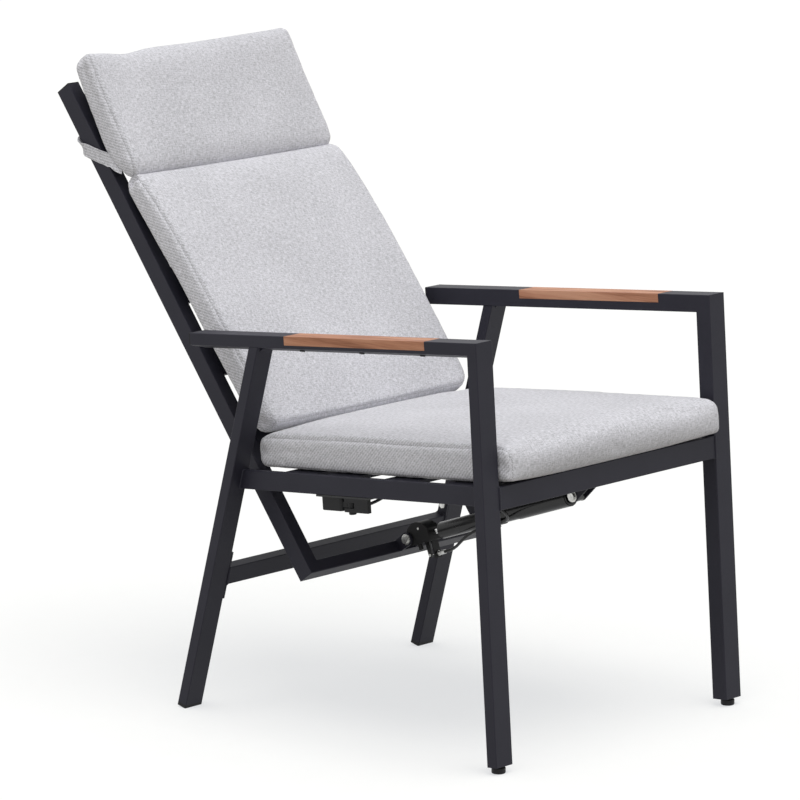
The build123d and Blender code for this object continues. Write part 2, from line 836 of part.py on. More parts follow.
# Lever arm: hangs from its pin past the valve pin to the cable's nipple
arm_back = arm_edge_place - arm_blade
with BuildPart() as release_arm:
    with BuildSketch(spring_side):
        with BuildLine():
            Polyline(
                (arm_edge_place, arm_pivot_rise),
                (arm_edge_place, -ferrule_drop),
                (arm_edge_place - arm_blade / 4, -arm_drop),
                (arm_back + arm_blade / 4, -arm_drop),
                (arm_back, -ferrule_drop),
                (arm_back - arm_blade / 4, arm_pivot_rise),
                close=True,
            )
        make_face()
        with Locations((arm_pivot_place, arm_pivot_rise)):
            Circle(arm_eye_radius)
            Circle(arm_pin_radius + running_gap, mode=Mode.SUBTRACT)
        with Locations((arm_back + arm_blade / 2, -ferrule_drop)):
            Circle(nipple_radius + running_gap, mode=Mode.SUBTRACT)
    extrude(amount=arm_plate_thickness / 2, both=True)
    add(
        round_bar(spring_plane, wire_radius + fit_gap, arm_back, arm_edge_place + fit_gap,
                  place=(0, -ferrule_drop)),
        mode=Mode.SUBTRACT,
    )
write(release_arm, "release_arm")

with BuildPart() as cable_wire:
    with BuildSketch(spring_side):
        with Locations((arm_back + arm_blade / 2, -ferrule_drop)):
            Circle(nipple_radius)
    extrude(amount=arm_plate_thickness, both=True)
    add(round_bar(spring_plane, wire_radius, arm_back + arm_blade / 2, ferrule_start + wire_reach,
                  place=(0, -ferrule_drop)))
write(cable_wire, "cable_wire")

with BuildPart() as cable_ferrule:
    ferrule_end = ferrule_start + ferrule_length
    add(round_bar(spring_plane, ferrule_radius, ferrule_start, ferrule_end, place=(0, -ferrule_drop)))
    add(
        round_bar(spring_plane, ferrule_mouth, ferrule_start, ferrule_start + ferrule_mouth_depth,
                  place=(0, -ferrule_drop)),
        mode=Mode.SUBTRACT,
    )
    for start in (tab_place - ferrule_nut - clear_gap, tab_place + tab_thickness + clear_gap):
        with BuildSketch(spring_plane.offset(start)):
            with Locations((0, -ferrule_drop)):
                RegularPolygon(ferrule_radius + ferrule_nut / 2, side_count=6)
                Circle(ferrule_radius, mode=Mode.SUBTRACT)
        extrude(amount=ferrule_nut)
write(cable_ferrule, "cable_ferrule")

# Release lever under the right seat rail, in its housing
lever_outer_x = -inner_x - rail_width
lever_x = lever_outer_x + lever_plate_width / 2
plate_top = -rail_depth
seat_up = Axis(seat_plane.origin, seat_plane.z_dir)
housing_top = plate_top - lever_plate_thickness
housing_bottom = housing_top - housing_height
housing_end = housing_start + housing_length
slot_middle = (housing_top + housing_bottom) / 2
port_x = lever_outer_x + lever_plate_width
cable_port = seat_plane.from_local_coords(Vector(port_x - cable_port_depth, cable_port_place, slot_middle))
with BuildPart() as lever_plate:
    with BuildSketch(seat_plane.offset(plate_top)):
        with Locations((lever_x, lever_plate_start + lever_plate_length / 2)):
            Rectangle(lever_plate_width, lever_plate_length)
    extrude(amount=-lever_plate_thickness)
write(lever_plate, "lever_plate")

with BuildPart() as lever_housing:
    with BuildSketch(seat_plane.offset(housing_top)):
        with BuildLine():
            Polyline(
                (lever_outer_x, housing_start),
                (port_x - housing_nose, housing_start),
                (port_x, housing_start + housing_nose),
                (port_x, housing_end),
                (lever_outer_x, housing_end),
                close=True,
            )
        make_face()
    extrude(amount=-housing_height)
    with BuildSketch(seat_plane.offset(slot_middle - lever_slot_height / 2)):
        with Locations((lever_x, housing_end - lever_slot_length / 2 + clear_gap)):
            Rectangle(lever_plate_width + overrun, lever_slot_length + clear_gap)
    extrude(amount=lever_slot_height, mode=Mode.SUBTRACT)
    add(
        round_bar(seat_plane, lever_pin_radius + running_gap, housing_bottom, housing_top,
                  place=(lever_x, lever_pin_place)),
        mode=Mode.SUBTRACT,
    )
    with BuildSketch(Plane(origin=cable_port, x_dir=(0, 1, 0), z_dir=(1, 0, 0))):
        Circle(cable_radius + running_gap)
    extrude(amount=lever_plate_width, mode=Mode.SUBTRACT)
write(lever_housing, "lever_housing")

with BuildPart() as lever_pin:
    place = (lever_x, lever_pin_place)
    add(round_bar(seat_plane, lever_pin_radius, housing_bottom, housing_top, place=place))
    knob_bottom = housing_bottom - lever_knob_height
    add(round_bar(seat_plane, lever_knob_radius, knob_bottom, housing_bottom, place=place))
    fillet(lever_pin.faces().sort_by(seat_up)[0].edges(), radius=lever_knob_height / 3)
write(lever_pin, "lever_pin")

with BuildPart() as release_lever:
    hub_height = lever_slot_height - clear_gap - clear_gap
    neck_length = paddle_start + paddle_round - lever_pin_place
    with BuildSketch(seat_plane.offset(slot_middle - hub_height / 2)):
        with Locations((lever_x, lever_pin_place)):
            Circle(lever_hub_radius)
        with Locations((lever_x, lever_pin_place + neck_length / 2)):
            Rectangle(lever_neck, neck_length)
    extrude(amount=hub_height)
    with BuildSketch(seat_plane.offset(housing_top - clear_gap - paddle_height)):
        with Locations((lever_x, paddle_start + paddle_length / 2)):
            RectangleRounded(paddle_width, paddle_length, paddle_round)
    extrude(amount=paddle_height)
    fillet(release_lever.faces().sort_by(seat_up)[0].edges(), radius=edge_round)
    add(
        round_bar(seat_plane, lever_pin_radius + running_gap, housing_bottom, housing_top,
                  place=(lever_x, lever_pin_place)),
        mode=Mode.SUBTRACT,
    )
write(release_lever, "release_lever")

# Cable guide: a band round the cylinder with a loop that the cable slides through
guide_place = (-guide_across, -guide_drop)
guide_end = guide_start + guide_length
with BuildPart() as cable_guide:
    add(round_bar(spring_plane, cylinder_radius + guide_wall, guide_start, guide_end))
    add(round_bar(spring_plane, cable_radius + guide_wall, guide_start, guide_end, place=guide_place))
    add(round_bar(spring_plane, cylinder_radius + running_gap, guide_start, guide_end), mode=Mode.SUBTRACT)
    add(
        round_bar(spring_plane, cable_radius + running_gap, guide_start, guide_end, place=guide_place),
        mode=Mode.SUBTRACT,
    )
write(cable_guide, "cable_guide")


def cable(points, name):
    """Round cable along straight runs joined by tangent arcs as large as the runs allow."""
    corners = [Vector(*point) for point in points]
    bends = []
    for before, here, after in zip(corners, corners[1:], corners[2:]):
        shorter = min((here - before).length, (after - here).length)
        turn = radians((here - before).get_angle(after - here))
        bends.append(bend_share * shorter * (1 + cos(turn)) / sin(turn))
    print(name, "bend radii", [round(bend, 1) for bend in bends])
    with BuildPart() as run:
        with BuildLine() as route:
            FilletPolyline(*corners, radius=bends)
        path = route.wire()
        with BuildSketch(Plane(origin=path @ 0, z_dir=path % 0)):
            Circle(cable_radius)
        sweep()
    length = path.length
    share = run.part.volume / (pi * cable_radius**2 * length)
    print(name, "length", round(length), "volume share", round(share, 4))
    write(run, name)


# Rear run of the cable, from the ferrule to the guide: across, above and along the spring
guide_middle = guide_start + guide_length / 2
rear_route = [
    (0, -ferrule_drop, ferrule_end),
    (0, -ferrule_drop, 70),
    (-4.5, -31.5, 88),
    (-11, -26, 106),
    (-16, -20, 124),
    (-18, -15.5, 142),
    (-17, -12.8, 160),
    (*guide_place, 177),
    (*guide_place, guide_middle),
]
cable([spring_plane.from_local_coords(Vector(*point)) for point in rear_route], "cable_rear")

# Front run, from the guide up behind the front leg and under the slats to the lever: across, back and up
free_route = [
    (-32, 207, 336),
    (-60, 208, 352),
    (-84, 217, 366),
    (-116, 229, 382),
    (-150, 245, 392),
    (-184, 263, 395),
    (-214, 282, 393),
]
guide_entry = spring_plane.from_local_coords(Vector(*guide_place, guide_middle))
guide_exit = spring_plane.from_local_coords(Vector(*guide_place, guide_end + guide_run))
free_points = [Vector(across, front_y + back, up) for across, back, up in free_route]
port_approach = cable_port + across_x * cable_port_run
cable([guide_entry, guide_exit, *free_points, port_approach, cable_port], "cable_front")


# Cushions: lofts through cross sections whose thickness, width and crown follow these shares of the length
pad_end_shares = (
    (0, 0.5, 0.955, 0.2),
    (0.008, 0.78, 0.975, 0.32),
    (0.022, 0.93, 0.99, 0.45),
    (0.05, 1, 1, 0.6),
    (0.12, 1, 1, 0.78),
    (0.25, 1, 1, 0.92),
    (0.5, 1, 1, 1),
)
pad_shares = pad_end_shares + tuple((1 - row[0], *row[1:]) for row in reversed(pad_end_shares[:-1]))


def cushion(plane, half, ends, stands, thicknesses, crown, rest, name):
    """Padded cushion along a plane: sizes that differ at its ends come in pairs, and its back swells."""
    with BuildPart() as pad:
        for place, full, wide, swell in pad_shares:
            along = ends[0] + (ends[1] - ends[0]) * place
            thickness = thicknesses[0] + (thicknesses[1] - thicknesses[0]) * place
            seam = stands[0] + (stands[1] - stands[0]) * place
            middle = seam + thickness / 2
            low = middle - thickness / 2 * full
            high = middle + thickness / 2 * full
            edge = half * wide
            section = Plane(origin=plane.origin + plane.y_dir * along, x_dir=(1, 0, 0), z_dir=-plane.y_dir)
            with BuildSketch(section):
                with BuildLine():
                    if seam > rest:
                        ThreePointArc((-edge, low), (0, low - (seam - rest) * swell), (edge, low))
                    else:
                        Line((-edge, low), (edge, low))
                    ThreePointArc((edge, low), (edge + pad_bulge * full, middle), (edge, high))
                    ThreePointArc((edge, high), (0, high + crown * swell), (-edge, high))
                    ThreePointArc((-edge, high), (-edge - pad_bulge * full, middle), (-edge, low))
                make_face()
        loft(ruled=True)
    write(pad, name)


slat_front = half_depth + clear_gap
cushion(
    seat_plane,
    seat_pad_half,
    (seat_pad_front, seat_pad_rear),
    (clear_gap, clear_gap),
    (seat_pad_front_thickness, seat_pad_rear_thickness),
    seat_pad_crown,
    clear_gap,
    "seat_cushion",
)
cushion(
    back_plane,
    back_pad_half,
    (back_pad_bottom, back_pad_top),
    (half_depth + back_pad_bottom_stand, half_depth + back_pad_top_stand),
    (back_pad_bottom_thickness, back_pad_top_thickness),
    back_pad_crown,
    slat_front,
    "back_cushion",
)
head_pad_bottom = back_pad_top + clear_gap
cushion(
    back_plane,
    head_pad_half,
    (head_pad_bottom, head_pad_bottom + head_pad_length),
    (half_depth + head_pad_bottom_stand, half_depth + head_pad_top_stand),
    (head_pad_bottom_thickness, head_pad_top_thickness),
    head_pad_crown,
    slat_front,
    "head_cushion",
)

# Strap of the head cushion: from its sides up and back round the stiles and across behind them
strap_x = stile_outer_x + clear_gap
strap_back = half_depth + clear_gap
strap_tab = half_depth + strap_tab_reach
tab_inner_x = head_pad_half + strap_seam_gap
with BuildPart() as cushion_strap:
    with BuildSketch(side_view(back_plane).offset(strap_x)):
        with BuildLine():
            Polyline(
                (strap_front - strap_front_span / 2, strap_tab),
                (strap_front + strap_front_span / 2, strap_tab),
                (strap_rear + strap_rear_span / 2, -strap_back - strap_thickness),
                (strap_rear - strap_rear_span / 2, -strap_back - strap_thickness),
                close=True,
            )
        make_face()
    extrude(amount=strap_thickness)
    with BuildSketch(back_plane.offset(strap_tab)):
        with Locations(((tab_inner_x + strap_x + strap_thickness) / 2, strap_front)):
            Rectangle(strap_x + strap_thickness - tab_inner_x, strap_width)
    extrude(amount=-strap_thickness)
    with BuildSketch(back_plane.offset(-strap_back)):
        with Locations(((strap_x + strap_thickness) / 2, strap_rear)):
            Rectangle(strap_x + strap_thickness, strap_width)
    extrude(amount=-strap_thickness)
    mirror(about=Plane.YZ)
write(cushion_strap, "cushion_strap")
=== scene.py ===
import json
from math import cos, pi, radians, sin, sqrt, tan

import bmesh
import bpy
import numpy as np
from mathutils import Matrix, Vector, noise
from mathutils.bvhtree import BVHTree
from mathutils.kdtree import KDTree


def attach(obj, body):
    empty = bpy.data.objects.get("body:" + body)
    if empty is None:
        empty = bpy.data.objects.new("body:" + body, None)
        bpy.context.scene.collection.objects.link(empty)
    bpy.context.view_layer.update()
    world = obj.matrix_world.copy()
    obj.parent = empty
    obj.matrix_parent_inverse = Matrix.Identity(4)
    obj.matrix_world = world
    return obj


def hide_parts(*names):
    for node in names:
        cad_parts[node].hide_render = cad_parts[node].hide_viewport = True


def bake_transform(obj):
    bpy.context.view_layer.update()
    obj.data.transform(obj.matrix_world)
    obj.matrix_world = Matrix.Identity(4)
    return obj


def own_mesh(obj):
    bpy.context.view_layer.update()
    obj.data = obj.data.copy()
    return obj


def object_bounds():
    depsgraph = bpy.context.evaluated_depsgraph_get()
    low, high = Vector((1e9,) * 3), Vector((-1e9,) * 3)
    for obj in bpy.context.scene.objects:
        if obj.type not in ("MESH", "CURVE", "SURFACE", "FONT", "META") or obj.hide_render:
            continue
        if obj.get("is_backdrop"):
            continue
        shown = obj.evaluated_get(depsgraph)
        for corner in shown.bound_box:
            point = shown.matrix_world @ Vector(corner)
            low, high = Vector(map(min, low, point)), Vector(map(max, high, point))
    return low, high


# Reclining garden armchair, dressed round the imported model. Everything is in metres: x runs across the
# chair, the sitter faces -y and z is up.

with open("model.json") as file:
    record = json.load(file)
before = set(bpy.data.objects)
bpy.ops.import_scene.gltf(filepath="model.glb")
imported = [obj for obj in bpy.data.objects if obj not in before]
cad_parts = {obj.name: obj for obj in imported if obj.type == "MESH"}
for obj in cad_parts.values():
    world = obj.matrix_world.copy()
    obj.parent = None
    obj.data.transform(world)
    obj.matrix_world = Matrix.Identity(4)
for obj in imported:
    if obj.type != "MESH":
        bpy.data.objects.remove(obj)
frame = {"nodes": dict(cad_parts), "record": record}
cad_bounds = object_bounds()
scene = bpy.context.scene
scene.view_settings.view_transform = "Standard"

# The chair's planes and the gas spring's eyes, as the solids have them
FRONT_Y = -0.496988
SEAT_ANGLE = radians(4.4)
BACK_ANGLE = radians(35.6)
REAR_LEG_ANGLE = radians(15.5)
LEG_ANGLE = radians(3.425)
SEAT_HEIGHT = 0.44
LEG_BOTTOM = 0.0124
REAR_LEG_BACK = 0.657
PIVOT = (0, 0.066012, 0.381)
REAR_EYE = (0, -0.063921, 0.261011)
FRONT_EYE = (0, -0.405971, 0.376513)


def member(origin, along):
    """Matrix of a member: local x across the chair, y along the member and z out of its face."""
    y = Vector((0, *along)).normalized()
    x = Vector((1, 0, 0))
    return Matrix.Translation(origin) @ Matrix((x, y, x.cross(y))).transposed().to_4x4()


BACK = member(PIVOT, (sin(BACK_ANGLE), cos(BACK_ANGLE)))
SEAT_FRONT = FRONT_Y + (SEAT_HEIGHT - LEG_BOTTOM) * tan(LEG_ANGLE)
SEAT = member((0, SEAT_FRONT, SEAT_HEIGHT), (cos(SEAT_ANGLE), -sin(SEAT_ANGLE)))
REAR_LEG = member((0, FRONT_Y + REAR_LEG_BACK, 0), (-sin(REAR_LEG_ANGLE), cos(REAR_LEG_ANGLE)))
FRONT_LEG = member((0, FRONT_Y, LEG_BOTTOM), (sin(LEG_ANGLE), cos(LEG_ANGLE)))


def new_piece(name, mesh):
    """New object in the scene."""
    obj = bpy.data.objects.new(name, mesh)
    scene.collection.objects.link(obj)
    return obj


def place(obj, matrix, body):
    """Puts a piece in its place on a body."""
    obj.matrix_world = matrix
    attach(obj, body)
    return obj


def smooth(mesh):
    """Gives a mesh smooth faces."""
    mesh.polygons.foreach_set("use_smooth", [True] * len(mesh.polygons))


def mesh_of(bm, name):
    """Mesh of finished mesh code, with smooth faces."""
    mesh = bpy.data.meshes.new(name)
    bm.to_mesh(mesh)
    bm.free()
    smooth(mesh)
    return mesh


# Materials. Each is a shader with its plain values on its own sockets and a few nodes for colour and bump


def material(name, colour, roughness, **values):
    """New material with its shader's plain values set on the shader."""
    mat = bpy.data.materials.new(name)
    mat.use_nodes = True
    shader = mat.node_tree.nodes["Principled BSDF"]
    shader.inputs["Base Color"].default_value = (*colour, 1)
    shader.inputs["Roughness"].default_value = roughness
    for socket, value in values.items():
        shader.inputs[socket.replace("_", " ")].default_value = value
    mat.diffuse_color = (*colour, 1)
    return mat


def node(mat, kind, *links, operation=None, **values):
    """New node: links are given in the order of its sockets, values by socket name."""
    made = mat.node_tree.nodes.new("ShaderNode" + kind)
    if operation:
        made.operation = operation
    for socket, link in enumerate(links):
        if isinstance(link, (int, float, tuple)):
            made.inputs[socket].default_value = link
        elif link is not None:
            mat.node_tree.links.new(link, made.inputs[socket])
    for socket, value in values.items():
        made.inputs[socket.replace("_", " ")].default_value = value
    return made


def place_on_piece(mat):
    """Place on the piece in its own coordinates."""
    return node(mat, "TexCoord").outputs["Object"]


def grain(mat, vector, scale, detail=2.0, stretch=(1, 1, 1), roughness=0.5):
    """Noise whose cells are stretched along each axis by one over the given shares."""
    stretched = node(mat, "VectorMath", vector, stretch, operation="MULTIPLY").outputs[0]
    return node(mat, "TexNoise", stretched, Scale=scale, Detail=detail, Roughness=roughness).outputs[0]


def math(mat, operation, *links):
    """Result of a sum of sockets or numbers."""
    return node(mat, "Math", *links, operation=operation).outputs[0]


def ramp(mat, value, *stops):
    """Colour ramp through (place, colour) stops."""
    made = node(mat, "ValToRGB", value)
    elements = made.color_ramp.elements
    while len(elements) < len(stops):
        elements.new(0.5)
    for element, (position, colour) in zip(elements, stops):
        element.position = position
        element.color = (*colour, 1)
    return made.outputs[0]


def colour_from(mat, colour):
    """Colour of the shader from a node."""
    mat.node_tree.links.new(colour, mat.node_tree.nodes["Principled BSDF"].inputs["Base Color"])


def roughness_from(mat, value, low, high):
    """Roughness that runs from low to high with a value from 0 to 1."""
    made = node(mat, "MapRange", value)
    made.inputs["To Min"].default_value, made.inputs["To Max"].default_value = low, high
    mat.node_tree.links.new(made.outputs[0], mat.node_tree.nodes["Principled BSDF"].inputs["Roughness"])


def bump_from(mat, height, distance, strength=1.0):
    """Relief that is a distance deep where the height is 1."""
    made = node(mat, "Bump", Strength=strength, Distance=distance)
    mat.node_tree.links.new(height, made.inputs["Height"])
    mat.node_tree.links.new(made.outputs[0], mat.node_tree.nodes["Principled BSDF"].inputs["Normal"])


def paint():
    """Graphite powder coat: fine orange peel, and a tone that differs a little at random from place to
    place.
    """
    mat = material("graphite_paint", (0.018, 0.0175, 0.028), 0.5, Specular_IOR_Level=0.25)
    where = place_on_piece(mat)
    peel = grain(mat, where, 900, detail=3)
    clouds = grain(mat, where, 14, detail=3)
    colour_from(mat, ramp(mat, clouds, (0.3, (0.0160, 0.0155, 0.0250)), (0.7, (0.0205, 0.0200, 0.0310))))
    roughness_from(mat, peel, 0.42, 0.60)
    bump_from(mat, peel, 0.00006)
    return mat


def hardwood():
    """Oiled hardwood: long pores and bands of colour along the arm."""
    mat = material("oiled_wood", (0.44, 0.19, 0.09), 0.55, Specular_IOR_Level=0.35)
    where = place_on_piece(mat)
    bands = grain(mat, where, 60, detail=4, stretch=(1, 0.05, 1), roughness=0.6)
    pores = grain(mat, where, 900, detail=2, stretch=(1, 0.03, 1))
    figure = math(mat, "ADD", math(mat, "MULTIPLY", bands, 0.75), math(mat, "MULTIPLY", pores, 0.25))
    stops = ((0.36, (0.27, 0.105, 0.052)), (0.5, (0.46, 0.205, 0.115)), (0.64, (0.60, 0.31, 0.19)))
    colour_from(mat, ramp(mat, figure, *stops))
    roughness_from(mat, pores, 0.45, 0.68)
    bump_from(mat, pores, 0.00025, 0.7)
    return mat


THREAD_PITCH = 0.0015
TWILL_PITCH = 0.0062
TURNED_AWAY = 0.62


def cloth(name, light, dark):
    """Melange weave. Threads cross along the two directions that lie in each face, and the narrow sides
    show a twill."""
    mat = material(name, light, 0.9, Specular_IOR_Level=0.25, Sheen_Weight=0.25, Sheen_Roughness=0.5)
    coordinates = node(mat, "TexCoord")
    at = node(mat, "SeparateXYZ", coordinates.outputs["Object"]).outputs
    facing = node(mat, "SeparateXYZ", coordinates.outputs["Normal"]).outputs
    sideways = math(mat, "GREATER_THAN", math(mat, "ABSOLUTE", facing[0]), TURNED_AWAY)
    endways = math(mat, "GREATER_THAN", math(mat, "ABSOLUTE", facing[1]), TURNED_AWAY)

    def either(choice, first, second):
        return math(mat, "ADD", first, math(mat, "MULTIPLY", choice, math(mat, "SUBTRACT", second, first)))

    across = either(sideways, at[0], at[2])
    along = either(endways, at[1], at[2])
    flat = node(mat, "CombineXYZ", across, along).outputs[0]
    warp = grain(mat, flat, 680, detail=2, stretch=(1, 0.18, 1))
    weft = grain(mat, flat, 680, detail=2, stretch=(0.18, 1, 1))
    clouds = grain(mat, coordinates.outputs["Object"], 9, detail=2)
    twill = math(mat, "SINE", math(mat, "MULTIPLY", math(mat, "ADD", across, along), 2 * pi / TWILL_PITCH))
    shoulder = node(mat, "MapRange", math(mat, "ABSOLUTE", facing[0]))
    shoulder.inputs["From Min"].default_value, shoulder.inputs["From Max"].default_value = 0.15, 0.5
    twill = math(mat, "MULTIPLY", twill, shoulder.outputs[0])
    slubs = math(mat, "ADD", math(mat, "MULTIPLY", warp, 0.5), math(mat, "MULTIPLY", weft, 0.5))
    shade = math(mat, "ADD", slubs, math(mat, "MULTIPLY", math(mat, "SUBTRACT", clouds, 0.5), 0.12))
    shade = math(mat, "ADD", shade, math(mat, "MULTIPLY", twill, 0.07))
    colour_from(mat, ramp(mat, shade, (0.36, dark), (0.62, light)))
    turns = 2 * pi / THREAD_PITCH
    weave = math(
        mat,
        "MULTIPLY",
        math(mat, "SINE", math(mat, "MULTIPLY", across, turns)),
        math(mat, "SINE", math(mat, "MULTIPLY", along, turns)),
    )
    height = math(mat, "ADD", slubs, math(mat, "MULTIPLY", weave, 0.25))
    height = math(mat, "ADD", height, math(mat, "MULTIPLY", twill, 0.25))
    bump_from(mat, height, 0.0007, 0.6)
    return mat


def plastic():
    """Black moulded plastic with a fine spark-eroded grain."""
    mat = material("black_plastic", (0.009, 0.009, 0.010), 0.5, Specular_IOR_Level=0.25)
    pits = grain(mat, place_on_piece(mat), 1400, detail=2)
    roughness_from(mat, pits, 0.38, 0.62)
    bump_from(mat, pits, 0.00008)
    return mat


def black_steel():
    """Satin black enamel on steel."""
    gloss = dict(Specular_IOR_Level=0.3, Coat_Weight=0.25, Coat_Roughness=0.1)
    mat = material("black_steel", (0.006, 0.006, 0.007), 0.28, **gloss)
    where = place_on_piece(mat)
    ripple = grain(mat, where, 260, detail=2)
    roughness_from(mat, grain(mat, where, 30, detail=3), 0.2, 0.36)
    bump_from(mat, ripple, 0.00004)
    return mat


def zinc():
    """Zinc plating: pale grey metal with fine scratches and dull patches."""
    mat = material("zinc_plate", (0.62, 0.62, 0.60), 0.3, Metallic=1.0)
    where = place_on_piece(mat)
    patches = grain(mat, where, 180, detail=4)
    scratches = grain(mat, where, 2200, detail=2, stretch=(0.1, 1, 1))
    colour_from(mat, ramp(mat, patches, (0.35, (0.48, 0.48, 0.47)), (0.65, (0.70, 0.70, 0.68))))
    roughness_from(mat, patches, 0.22, 0.42)
    bump_from(mat, scratches, 0.00003)
    return mat


def chrome():
    """Ground and chromed rod with rings too fine to count."""
    mat = material("chrome_rod", (0.72, 0.72, 0.72), 0.12, Metallic=1.0)
    rings = grain(mat, place_on_piece(mat), 1500, detail=2, stretch=(0.05, 1, 1))
    roughness_from(mat, rings, 0.08, 0.18)
    bump_from(mat, rings, 0.00001)
    return mat


def sheath():
    """Black cable sheath, smooth with a faint grain."""
    mat = material("cable_sheath", (0.008, 0.008, 0.009), 0.36, Specular_IOR_Level=0.3)
    marks = grain(mat, place_on_piece(mat), 700, detail=2)
    roughness_from(mat, marks, 0.28, 0.46)
    bump_from(mat, marks, 0.00004)
    return mat


def thread_and_seam_shade():
    """Sewing thread, darker than the cloth: partly its own colour, partly painted shade of the seam's
    groove.
    """
    mat = material("grey_thread_and_painted_seam_shade", (0.42, 0.42, 0.43), 0.8)
    twist = grain(mat, place_on_piece(mat), 3000, detail=2)
    colour_from(mat, ramp(mat, twist, (0.3, (0.34, 0.34, 0.35)), (0.7, (0.50, 0.50, 0.51))))
    bump_from(mat, twist, 0.0001)
    return mat


FINISHES = {
    "frame_paint": paint(),
    "wood": hardwood(),
    "fabric": cloth("melange_cloth", (0.84, 0.835, 0.885), (0.47, 0.47, 0.495)),
    "black_plastic": plastic(),
    "black_steel": black_steel(),
    "bright_steel": zinc(),
    "chrome_rod": chrome(),
    "cable_sheath": sheath(),
}
THREAD_AND_SEAM_SHADE = thread_and_seam_shade()

for part in frame["record"]["subparts"]:
    solid = frame["nodes"][part["node"]]
    solid.data.materials.clear()
    solid.data.materials.append(FINISHES[part["material_slot"]])

for name in ("arm_insert_left", "arm_insert_right"):
    solid = frame["nodes"][name]
    weld = solid.modifiers.new("Weld", "WELD")
    weld.merge_threshold = 0.00001
    eased = solid.modifiers.new("Bevel", "BEVEL")
    eased.width = 0.0012
    eased.segments = 3
    eased.limit_method = "ANGLE"

# Cushions. Each is a closed form between the outline of its side panels and that of its middle, blown up a
# little as cloth between its seams


def curve_through(points, steps):
    """Points of a smooth curve through the given ones."""
    ends = [points[0], *points, points[-1]]
    made = []
    for before, start, end, after in zip(ends, ends[1:], ends[2:], ends[3:]):
        for number in range(steps):
            t = number / steps
            made.append(
                0.5
                * (
                    2 * start
                    + (end - before) * t
                    + (2 * before - 5 * start + 4 * end - after) * t**2
                    + (3 * start - before - 3 * end + after) * t**3
                )
            )
    return [*made, points[-1]]


def evenly(points, count):
    """Places at even distances along a smooth curve through the points, without its last one."""
    line = curve_through(points, 8)
    lengths = [0.0]
    for first, second in zip(line, line[1:]):
        lengths.append(lengths[-1] + (second - first).length)
    places, ahead = [], 0
    for number in range(count):
        distance = lengths[-1] * number / count
        while lengths[ahead + 1] < distance:
            ahead += 1
        run = max(lengths[ahead + 1] - lengths[ahead], 1e-9)
        places.append(line[ahead].lerp(line[ahead + 1], (distance - lengths[ahead]) / run))
    return places


# Points of an outline along a face and round an end
FACE_STEPS = 64
END_STEPS = 14


def outline(*runs):
    """Closed outline of four runs: up the face, over the far end, down the back and round the near end.
    Each point is given in millimetres along the cushion and out from its member."""
    runs = [[Vector((along / 1000, out / 1000)) for along, out in run] for run in runs]
    points = []
    for run, after, count in zip(runs, runs[1:] + runs[:1], (FACE_STEPS, END_STEPS) * 2):
        points += evenly([*run, after[0]], count)
    return points


# Reach of the shoulders in from the sides, the share of the height from which they rise, and how far a
# corner is drawn in
SHOULDER_REACH = 0.018
SHOULDER_FROM = 0.3
CORNER_DRAWN_IN = 0.4


class Pad:
    """Cushion: half its width, its shift across, the outlines of its sides and its middle, how much of the
    swell between them comes at its shoulders, and the rounding of the corners at its two ends."""

    def __init__(self, half, shift, side, middle, shoulder, corners):
        self.half, self.shift, self.shoulder, self.corners = half, shift, shoulder, corners
        self.side, self.middle = outline(*side), outline(*middle)
        places, levels = zip(*self.side)
        self.ends = min(places), max(places)
        self.low, self.high = min(levels), max(levels)

    def loop(self, share):
        """Closed loop round the cushion at a share of its half width."""
        inward = min((1 - abs(share)) * self.half / SHOULDER_REACH, 1)
        at_once, slowly = sqrt(1 - (1 - inward) ** 2), (1 - share**2) ** 0.7
        points = []
        for side, middle in zip(self.side, self.middle):
            in_front = min(max((side.y - self.low) / (self.high - self.low) / SHOULDER_FROM - 1, 0), 1)
            along, out = side.lerp(middle, slowly + in_front * self.shoulder * (at_once - slowly))
            to_start, to_far = along - self.ends[0], self.ends[1] - along
            to_end, corner = min((to_start, self.corners[0]), (to_far, self.corners[1]))
            turned = min(max(0, 1 - to_end / corner), 1)
            across = self.half - CORNER_DRAWN_IN * corner * turned**2.5
            points.append(Vector((self.shift + across * share, along, out)))
        return points

    def edge(self, number):
        """Line across the cushion through one point of its outlines."""
        return [self.loop(sin(pi * step / 120))[number] for step in range(-60, 61)]


# Rings of a side panel: their size as a share of its outline, and how far they stand out
PANEL_RINGS = (0.88, 0.0016), (0.62, 0.0032), (0.25, 0.0040)


def shell(pad, name):
    """Closed mesh of a cushion: loops across it, closer together at its sides, and bulging side panels."""
    loops = [pad.loop(sin(pi * number / 48)) for number in range(-24, 25)]
    face_end, back_end = FACE_STEPS, 2 * FACE_STEPS + END_STEPS
    for side in (-1, 1):
        edge = loops[0] if side < 0 else loops[-1]
        far = sum(edge[face_end : face_end + END_STEPS], Vector()) / END_STEPS
        near = sum(edge[back_end:], Vector()) / END_STEPS
        for scale, bulge in PANEL_RINGS:
            ring = []
            for point in edge:
                share = min(max((point.y - near.y) / (far.y - near.y), 0.04), 0.96)
                middle = near.lerp(far, share)
                middle.x = point.x
                ring.append(middle + (point - middle) * scale + Vector((side * bulge, 0, 0)))
            loops = [ring, *loops] if side < 0 else [*loops, ring]
    bm = bmesh.new()
    rings = [[bm.verts.new(point) for point in points] for points in loops]
    for first, second in zip(rings, rings[1:]):
        for number in range(len(first)):
            after = (number + 1) % len(first)
            bm.faces.new((first[number], first[after], second[after], second[number]))
    bm.faces.new(rings[0])
    bm.faces.new(rings[-1][::-1])
    bmesh.ops.recalc_face_normals(bm, faces=bm.faces)
    return new_piece(name, mesh_of(bm, name))


def coordinates_of(mesh):
    """Places of a mesh's vertices, one in a row."""
    points = np.zeros(len(mesh.vertices) * 3)
    mesh.vertices.foreach_get("co", points)
    return points.reshape(-1, 3)


def applied(obj):
    """The piece's mesh becomes what its modifiers make of it."""
    mesh = bpy.data.meshes.new_from_object(obj.evaluated_get(bpy.context.evaluated_depsgraph_get()))
    obj.modifiers.clear()
    obj.data = mesh


